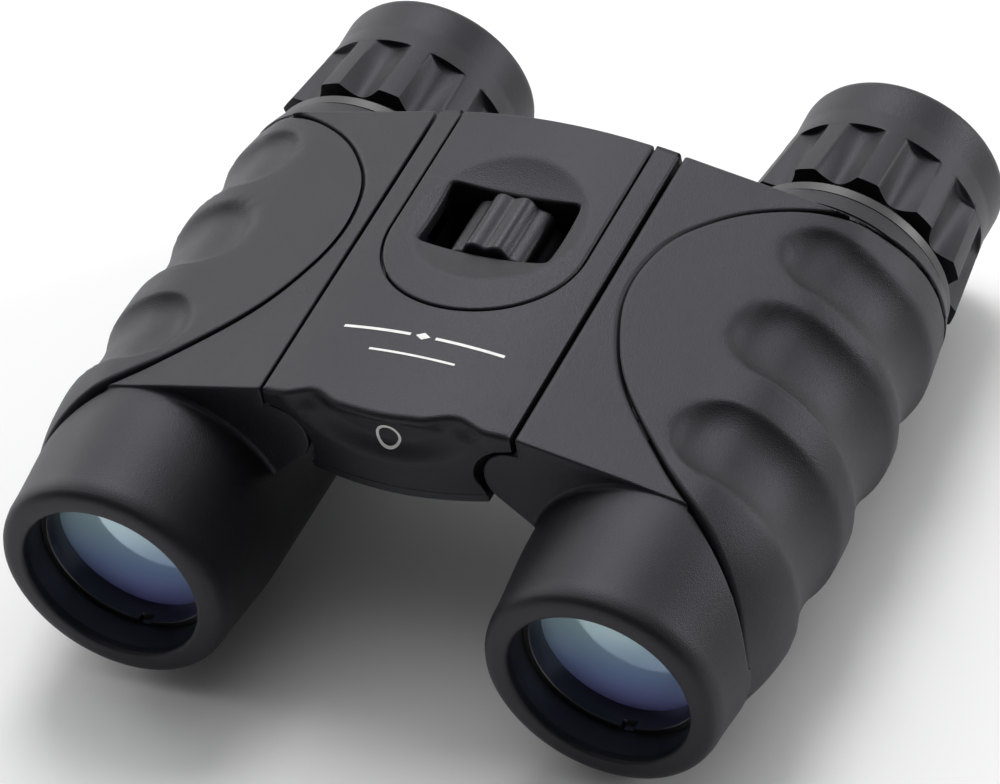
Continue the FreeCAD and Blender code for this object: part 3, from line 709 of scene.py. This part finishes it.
def rearPanel():  # closes the bridge behind, below the focus cover
    levels = 30

    def where(row, column):
        z = lerp(bridge["floor"], 24.9, row / (levels - 1))
        edge = socketSide(z)
        top = crownHeight(edge, 79) - 0.15
        return place(edge * (column / 20 * 2 - 1), 78.9, min(z, min(top, 22.5)))

    bm = sheetOf(levels, 21, where)
    piece = asPiece(bm, "bridge_rear_panel", "bridge", "armour_rubber", sharp=50)
    thick = piece.modifiers.new("wall", "SOLIDIFY")
    thick.thickness = 0.001
    thick.offset = 0
    softened = piece.modifiers.new("edge", "BEVEL")
    softened.width = 0.0002
    softened.segments = 2
    softened.limit_method = "ANGLE"


def coverOutside(turn):  # from the window's centre to the tongue's outline
    c, s = cos(turn), sin(turn)
    reach = 1e9
    if abs(c) > 1e-6:
        reach = cover["half"] / abs(c)
    if s > 1e-6:
        reach = softMin(reach, (bridge["rear"] - 0.05 - cover["middle"]) / s, 0.5)
    low = cover["middle"] - cover["centre"]
    if reach * s < -low:
        b = low * s
        reach = -b + sqrt(b * b - low * low + cover["half"] ** 2)
    return reach


def coverWindow(turn):
    c, s = abs(cos(turn)) / cover["windowX"], abs(sin(turn)) / cover["windowY"]
    return (c ** 16 + s ** 16) ** (-1 / 16)


def coverHeight(x, y):
    away = hypot(x, y - cover["middle"])
    bowl = cover["dishDepth"] * (1 - (away / cover["dishRadius"]) ** 2)
    return crownHeight(x, y) - softMax(bowl, 0, 0.22)


def focusCover():
    columns = 480
    edge = [n / 4 for n in range(5)]
    rows = ([("window", part) for part in (1.0, 0.6, 0.25, 0.0)] + [("lip", part) for part in edge[1:]]
            + [("top", n / 36) for n in range(1, 36)] + [("rim", part) for part in edge]
            + [("outside", 0.3), ("outside", 1.0), ("under", 0.5)])

    def where(row, column):
        kind, part = rows[row]
        turn = 2 * pi * (column + 0.5) / columns
        inside, outside = coverWindow(turn), coverOutside(turn)
        if kind == "window":
            reach, drop = inside, lerp(cover["lip"], cover["deep"], part)
        elif kind == "lip":
            reach = inside + cover["lip"] * (1 - cos(part * pi / 2))
            drop = cover["lip"] * (1 - sin(part * pi / 2))
        elif kind == "top":
            reach, drop = lerp(inside + cover["lip"], outside - cover["edge"], part), 0
        elif kind == "rim":
            reach = outside - cover["edge"] * (1 - sin(part * pi / 2))
            drop = cover["edge"] * (1 - cos(part * pi / 2))
        elif kind == "outside":
            reach, drop = outside, lerp(cover["edge"], 3.2, part)
        else:
            reach, drop = (inside + outside) / 2, 3.2
        x, y = reach * cos(turn), cover["middle"] + reach * sin(turn)
        z = coverHeight(x, y) - drop
        if kind == "under" or (kind in ("outside", "window") and part == 1):
            z = min(z, cover["floor"] - 0.05)
        return place(x, y, z)

    bm = lathe(len(rows), columns, where, closed=True)
    return asPiece(bm, "focus_cover_plate", "bridge", "cover_rubber", ["focus_cover"], sharp=50)


def bottomPlate():  # the lower cover, its front edge drawn back to follow the nose
    bm = bmesh.new()
    bm.from_mesh(nodes["bottom_plate"].data)
    bmesh.ops.remove_doubles(bm, verts=bm.verts[:], dist=1e-6)
    for v in bm.verts:
        x, y = v.co.x * 1000, (v.co.y - rimY) * 1000
        line = bridge["front"] + x * x / (2 * bridge["bow"])
        if y < line + 0.6:
            v.co.y += (noseLine(x, 11) - line) / 1000
    return asPiece(bm, "bridge_floor_plate", "bridge", "moulded_plastic", ["bottom_plate"], sharp=35)


bridgeShell()
rearPanel()
focusCover()
bottomPlate()


print("focus wheel")
wheel = {"crest": 6.9, "valley": 6.1, "flutes": 10, "front": 53.2, "rear": 64.4, "bore": 5.02,
         "face": 5.3, "edge": 0.6}


def focusTyre():
    ends = [n / 5 for n in range(6)]
    rows = ([("bore", wheel["rear"]), ("bore", wheel["front"]), ("face", wheel["front"])]
            + [("front", part) for part in ends] + [("run", n / 6) for n in range(1, 6)]
            + [("rear", part) for part in ends[::-1]] + [("face", wheel["rear"])])

    def where(row, column):
        kind, value = rows[row]
        turn = 2 * pi * column / 240
        wave = 0.5 + 0.5 * cos(wheel["flutes"] * turn)
        radius = lerp(wheel["valley"], wheel["crest"], wave ** 0.8)
        if kind == "bore":
            y, radius = value, wheel["bore"]
        elif kind == "face":
            y, radius = value, wheel["face"]
        elif kind == "run":
            y = lerp(wheel["front"] + wheel["edge"], wheel["rear"] - wheel["edge"], value)
        else:
            radius -= wheel["edge"] * (1 - sin(value * pi / 2))
            shift = wheel["edge"] * (1 - cos(value * pi / 2))
            y = wheel["front"] + shift if kind == "front" else wheel["rear"] - shift
        return place(radius * cos(turn), y, wheelHeight + radius * sin(turn))

    bm = lathe(len(rows), 240, where, closed=True)
    return asPiece(bm, "focus_wheel_tyre", "focus_wheel", "wheel_rubber", ["focus_tyre"], sharp=40)


focusTyre()


print("eyepieces")
cup = {"land": 17.1, "scoop": 14.7, "half": 11.0, "count": 11, "phase": 88.7, "front": 86.8,
       "lands": 88.7, "taper": 15.3, "band": 15.45, "rim": 15.55, "bore": 13.25, "perScoop": 32}


def eyecup(name, side):
    # place, radius where it is plain, and how far the row dips into a scoop; -1 and -2 are plain
    outer = [(cup["front"], 13.3, 0), (cup["front"], 14.1, 0), (87.0, 14.4, 0), (88.2, 14.45, 0),
             (88.5, 14.5, 0.0), (88.65, 14.6, 0.5), (cup["lands"], 14.7, 1.0), (88.85, 14.8, 1.15)]
    outer += [(y, 0, 1) for y in steps(89.2, 99.6, 16)]
    outer += [(99.9, 0, 0.96), (100.1, 0, 0.8), (100.2, 0, 0.5), (100.25, 0, 0.2), (100.35, 0, 0)]
    outer += [(y, 0, -1) for y in steps(100.7, 109.2, 18)]
    outer += [(109.7, 15.47, -2), (110.1, 15.3, -2), (110.4, 14.95, -2), (110.55, 14.5, -2),
              (110.6, 14.1, -2), (110.5, 13.75, -2), (110.2, 13.4, -2), (109.6, 13.3, -2)]
    outer += [(y, cup["bore"], -2) for y in (107.2, 103, 98, 92)]
    columns = cup["count"] * cup["perScoop"]

    def where(row, column):
        y, radius, share = outer[row]
        angle = 360 * column / columns
        period = 360 / cup["count"]
        off = abs((angle - cup["phase"] + period / 2) % period - period / 2) / cup["half"]
        body = lerp(cup["land"], cup["band"], clamp((y - cup["lands"]) / cup["taper"]))
        body += (cup["rim"] - cup["band"]) * smooth((y - 104) / 5.2)
        scoop = cup["scoop"] + (body - cup["scoop"]) * min(off, 1) ** 2
        scoop = body - softMax(body - scoop, 0, 0.12)
        if 88.4 < y < 89 and share:
            radius = lerp(14.5, scoop, clamp(share))
        elif y > 89 and share > -2:
            radius = lerp(body, scoop, max(share, 0))
        return onBarrel(side, y, angle, radius)

    bm = lathe(len(outer), columns, where, closed=True)
    return asPiece(bm, f"{name}_eyecup_sleeve", f"{name}_cup", "cup_rubber",
                   [f"{name}_eyecup"], sharp=38)


for name, side in sides:
    eyecup(name, side)


print("optics")
# how far each face of a lens bulges
optics = {"objectiveFront": 1.35, "objectiveRear": 1.0, "eyeFront": 1.2, "eyeRear": 1.6,
          "slotHalf": 3.2}


def glass(name, node, body, bulgeFront, bulgeRear):
    low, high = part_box(node)
    centre = (low + high) / 2
    radius = (high.x - low.x) / 2
    profile = [n / 24 for n in range(25)]
    rows = [("front", t) for t in profile] + [("rear", t) for t in profile[::-1]]

    def where(row, column):
        face, t = rows[row]
        reach = radius * sin(t * pi / 2)
        share = 1 - (reach / radius) ** 2
        if face == "front":
            y = low.y + bulgeFront / 1000 * (1 - share)
        else:
            y = high.y - bulgeRear / 1000 * (1 - share)
        turn = 2 * pi * column / 96
        return Vector((centre.x + reach * cos(turn), y, centre.z + reach * sin(turn)))

    return asPiece(lathe(len(rows), 96, where), name, body, "coated_glass", [node], sharp=40)


def turnedRing(name, body, slot, profile, centreX, replaced, notches):
    columns = 240

    def where(row, column):
        y, radius, cut = profile[row]
        angle = 360 * column / columns
        off = abs((angle - 90 + 180 / notches) % (360 / notches) - 180 / notches)
        if cut and off <= optics["slotHalf"]:
            radius += cut
        turn = radians(angle)
        return place(centreX + radius * cos(turn), y, radius * sin(turn))

    bm = lathe(len(profile), columns, where, closed=True)
    return asPiece(bm, name, body, slot, replaced, sharp=35)


for name, side in sides:
    glass(f"{name}_objective_glass", f"{name}_objective_lens", f"{name}_barrel",
          optics["objectiveFront"], optics["objectiveRear"])
    glass(f"{name}_eye_glass", f"{name}_eye_lens", f"{name}_barrel",
          optics["eyeFront"], optics["eyeRear"])
    # retaining ring in the mouth, with two slots for a spanner
    turnedRing(f"{name}_mouth_ring", f"{name}_barrel", "black_ring",
               [(5.9, 13.5, 0), (5.9, 12.75, 0.6), (6.0, 12.62, 0.7), (6.2, 12.58, 0.7),
                (6.9, 12.55, 0.7), (7.1, 12.5, 0), (8.4, 12.3, 0), (9.3, 12.35, 0), (9.4, 13.5, 0)],
               side * axisX, [f"{name}_objective_ring"], notches=2)

print("marks")
# plain printed rules, a lozenge and a ring: "high" is the ink's thickness, "clear" its gap to the rubber
marks = {"high": 0.03, "clear": 0.005, "longOut": 12.2, "longIn": 1.9, "longRear": (33.5, 34.0),
         "short": 6.5, "shortRear": (29.7, 30.1), "lozengeAt": 33.75, "lozenge": 1.1, "slim": 0.62,
         "ringAt": 19.4, "ring": 1.9, "ringWide": 0.42, "ringClear": 0.04}


def inked(bm, name, slot, outward):  # outward: the way the printed face looks
    piece = asPiece(bm, name, "bridge", slot, sharp=0, material=whiteInk, smoothed=False)
    if sum(face.normal.dot(outward) * face.area for face in piece.data.polygons) < 0:
        piece.data.flip_normals()
    thick = piece.modifiers.new("ink", "SOLIDIFY")
    thick.thickness = marks["high"] / 1000
    thick.offset = 1
    return piece


def onCrown(bm, name):
    for v in bm.verts:
        v.co = place(v.co.x, v.co.y, crownHeight(v.co.x, v.co.y) + marks["clear"])
    return inked(bm, name, "cover_rubber", Vector((0, 0, 1)))


def strip(x1, x2, y1, y2, name):  # a printed line, bent to the crown
    bm = bmesh.new()
    bmesh.ops.create_grid(bm, x_segments=24, y_segments=1, size=1)
    for v in bm.verts:
        v.co = Vector((lerp(x1, x2, (v.co.x + 1) / 2), lerp(y1, y2, (v.co.y + 1) / 2), 0))
    return onCrown(bm, name)


def lozenge(x, y, size, name):
    bm = bmesh.new()
    bmesh.ops.create_grid(bm, x_segments=6, y_segments=6, size=1)
    for v in bm.verts:
        a, b = v.co.x * size, v.co.y * size * marks["slim"]
        v.co = Vector((x + (a - b / marks["slim"]) / 2, y + (a * marks["slim"] + b) / 2, 0))
    return onCrown(bm, name)


def plainRing(height, radius, width, name):  # a plain printed ring in the dish of the nose
    bm = bmesh.new()
    bmesh.ops.create_circle(bm, segments=64, radius=1)
    inner = bmesh.ops.extrude_edge_only(bm, edges=bm.edges[:])
    for v in bm.verts:
        v.co.z = 1
    for v in [part for part in inner["geom"] if isinstance(part, bmesh.types.BMVert)]:
        v.co.z = 0
    shell = bpy.data.objects["bridge_shell"]
    nose = BVHTree.FromObject(shell, bpy.context.evaluated_depsgraph_get())
    for v in bm.verts:
        reach = radius if v.co.z > 0.5 else radius - width
        size = hypot(v.co.x, v.co.y)
        x, z = v.co.x / size * reach, height + v.co.y / size * reach
        hit = nose.ray_cast(place(x, 0, z), Vector((0, 1, 0)))[0]
        v.co = hit - Vector((0, marks["ringClear"] / 1000, 0))
    return inked(bm, name, "armour_rubber", Vector((0, -1, 0)))


strip(-marks["longOut"], -marks["longIn"], *marks["longRear"], "mark_rule_left")
strip(marks["longIn"], marks["longOut"], *marks["longRear"], "mark_rule_right")
lozenge(0, marks["lozengeAt"], marks["lozenge"], "mark_lozenge")
strip(-marks["short"], marks["short"], *marks["shortRear"], "mark_rule_front")
plainRing(marks["ringAt"], marks["ring"], marks["ringWide"], "mark_nose_ring")


print("studio")
# the camera looks back along "back", rolled; across and up slide it, in millimetres
studio = {"floor": 3.0, "softbox": (-0.35, 0.62, 0.7), "dim": 0.1, "bright": 1.35, "lens": 235.9,
          "distance": 923.3, "back": (0.397, -0.628, 0.669), "roll": -11.6, "target": 52.85,
          "across": -1.17, "up": -1.60,
          # lamps: name, place and width in metres, power in watts
          "lamps": (("overhead", (-0.35, 0.85, 1.45), 0.7, 13),
                    ("left strip", (-1.1, 0.5, 0.4), 0.4, 2.5),
                    ("right strip", (0.95, 0.9, 0.4), 0.35, 7))}


def floorAndLight():
    bm = bmesh.new()
    bmesh.ops.create_grid(bm, x_segments=2, y_segments=2, size=studio["floor"])
    mesh = bpy.data.meshes.new("floor")
    bm.to_mesh(mesh)
    bm.free()
    ground = bpy.data.objects.new("floor", mesh)
    bpy.context.scene.collection.objects.link(ground)
    mesh.materials.append(newMaterial("pale studio paper", "#f4f4f4", 0.9)[0])
    world = bpy.data.worlds.new("studio")
    world.use_nodes = True
    background = world.node_tree.nodes["Background"]
    background.inputs["Color"].default_value = (1, 1, 1, 1)
    where = addNode(world.node_tree, "ShaderNodeTexCoord")
    facing = addNode(world.node_tree, "ShaderNodeVectorMath", {"operation": "DOT_PRODUCT"}, None,
                     {0: where.outputs["Generated"]})
    facing.inputs[1].default_value = Vector(studio["softbox"]).normalized()
    level = addNode(world.node_tree, "ShaderNodeMapRange", {"interpolation_type": "SMOOTHSTEP"},
                    {"From Min": 0.25, "From Max": 0.95, "To Min": studio["dim"], "To Max": studio["bright"]},
                    {"Value": facing.outputs["Value"]})
    world.node_tree.links.new(level.outputs["Result"], background.inputs["Strength"])
    bpy.context.scene.world = world
    for label, at, size, power in studio["lamps"]:
        light = bpy.data.lights.new(label, "AREA")
        light.shape = "SQUARE"
        light.size = size
        light.energy = power
        lamp = bpy.data.objects.new(label, light)
        lamp.location = at
        lamp.rotation_euler = (Vector((0, 0, 0.02)) - Vector(at)).to_track_quat("-Z", "Y").to_euler()
        bpy.context.scene.collection.objects.link(lamp)


def addCamera():
    back = Vector(studio["back"]).normalized()
    side = (-back).cross(Vector((0, 0, 1))).normalized()
    top = side.cross(-back)
    turn = radians(studio["roll"])
    right = side * cos(turn) + top * sin(turn)
    up = top * cos(turn) - side * sin(turn)
    spot = (place(0, studio["target"], 0) + back * studio["distance"] / 1000
            + right * studio["across"] / 1000 + up * studio["up"] / 1000)
    data = bpy.data.cameras.new("camera")
    data.lens = studio["lens"]
    data.sensor_width = 36
    data.clip_end = 10
    camera = bpy.data.objects.new("camera", data)
    camera.matrix_world = Matrix([[right.x, up.x, back.x, spot.x], [right.y, up.y, back.y, spot.y],
                                  [right.z, up.z, back.z, spot.z], [0, 0, 0, 1]])
    bpy.context.scene.collection.objects.link(camera)
    bpy.context.scene.camera = camera


floorAndLight()
addCamera()
bpy.context.scene.view_settings.view_transform = "Standard"
